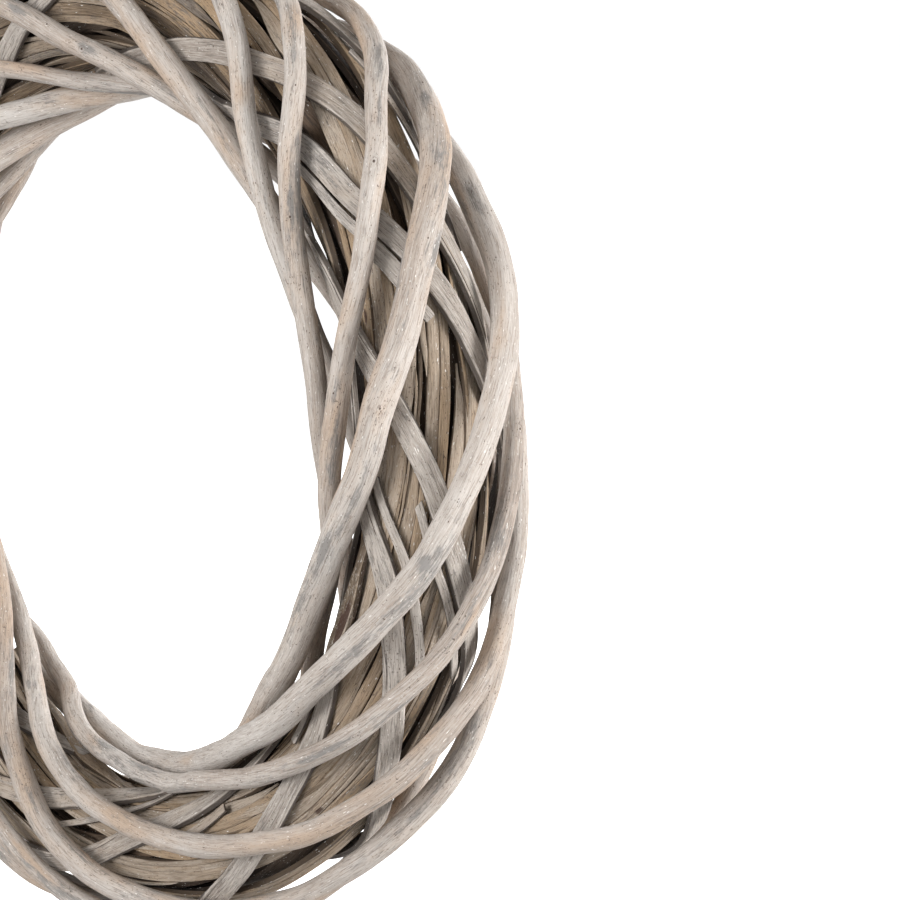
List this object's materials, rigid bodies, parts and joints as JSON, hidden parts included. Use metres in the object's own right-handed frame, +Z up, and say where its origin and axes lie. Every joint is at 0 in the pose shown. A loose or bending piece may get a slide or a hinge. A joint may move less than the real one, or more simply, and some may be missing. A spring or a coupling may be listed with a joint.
{
  "type": "wicker wreath",
  "caption": "Round open wreath for hanging as a decoration or a base for flowers: long whitewashed rods wound in open spirals round a ring of split wicker strips.",
  "frame": {"origin": "middle of the wreath's box, in the middle of its hole", "axes": "+Z up as the wreath hangs, -Y out of its front and +Y out of its back, through the hole, +X to the right as seen from the front"},
  "size_m": [0.3932, 0.0748, 0.3932],
  "materials": {
    "whitewashed_rod": "peeled round rod, thinly whitewashed, matt, with fine lengthwise streaks and small dark specks",
    "weathered_strip": "split strip, grey and fibrous, matt",
    "split_wood": "bare split wood, tan to brown, matt, with cracks along the grain"
  },
  "bodies": {
    "root": {"hoop_rod_1": "split_wood", "hoop_rod_2": "split_wood", "hoop_rod_3": "split_wood", "inner_split_1": "split_wood", "inner_split_2": "split_wood", "inner_split_3": "split_wood", "inner_split_4": "split_wood", "inner_split_5": "split_wood", "inner_split_6": "split_wood", "middle_split_1": "split_wood", "middle_split_2": "split_wood", "middle_split_3": "split_wood", "middle_split_4": "split_wood", "middle_split_5": "split_wood", "middle_split_6": "split_wood", "middle_split_7": "split_wood", "outer_split_1": "split_wood", "outer_split_2": "split_wood", "outer_split_3": "split_wood", "outer_split_4": "split_wood", "outer_split_5": "split_wood", "outer_split_6": "split_wood", "outer_split_7": "split_wood", "outer_split_8": "split_wood", "outer_split_9": "split_wood", "cross_strip_1": "weathered_strip", "cross_strip_2": "weathered_strip", "cross_strip_3": "weathered_strip", "cross_strip_4": "weathered_strip", "cross_strip_5": "weathered_strip", "cross_strip_6": "weathered_strip", "cross_strip_7": "weathered_strip", "cross_strip_8": "weathered_strip", "cross_strip_9": "weathered_strip", "cross_strip_10": "weathered_strip", "cross_strip_11": "weathered_strip", "rod_1": "whitewashed_rod", "rod_2": "whitewashed_rod", "rod_3": "whitewashed_rod", "rod_4": "whitewashed_rod", "rod_5": "whitewashed_rod", "rod_6": "whitewashed_rod", "rod_7": "whitewashed_rod", "rod_8": "whitewashed_rod", "rod_9": "whitewashed_rod", "rod_10": "whitewashed_rod"}
  },
  "joints": []
}
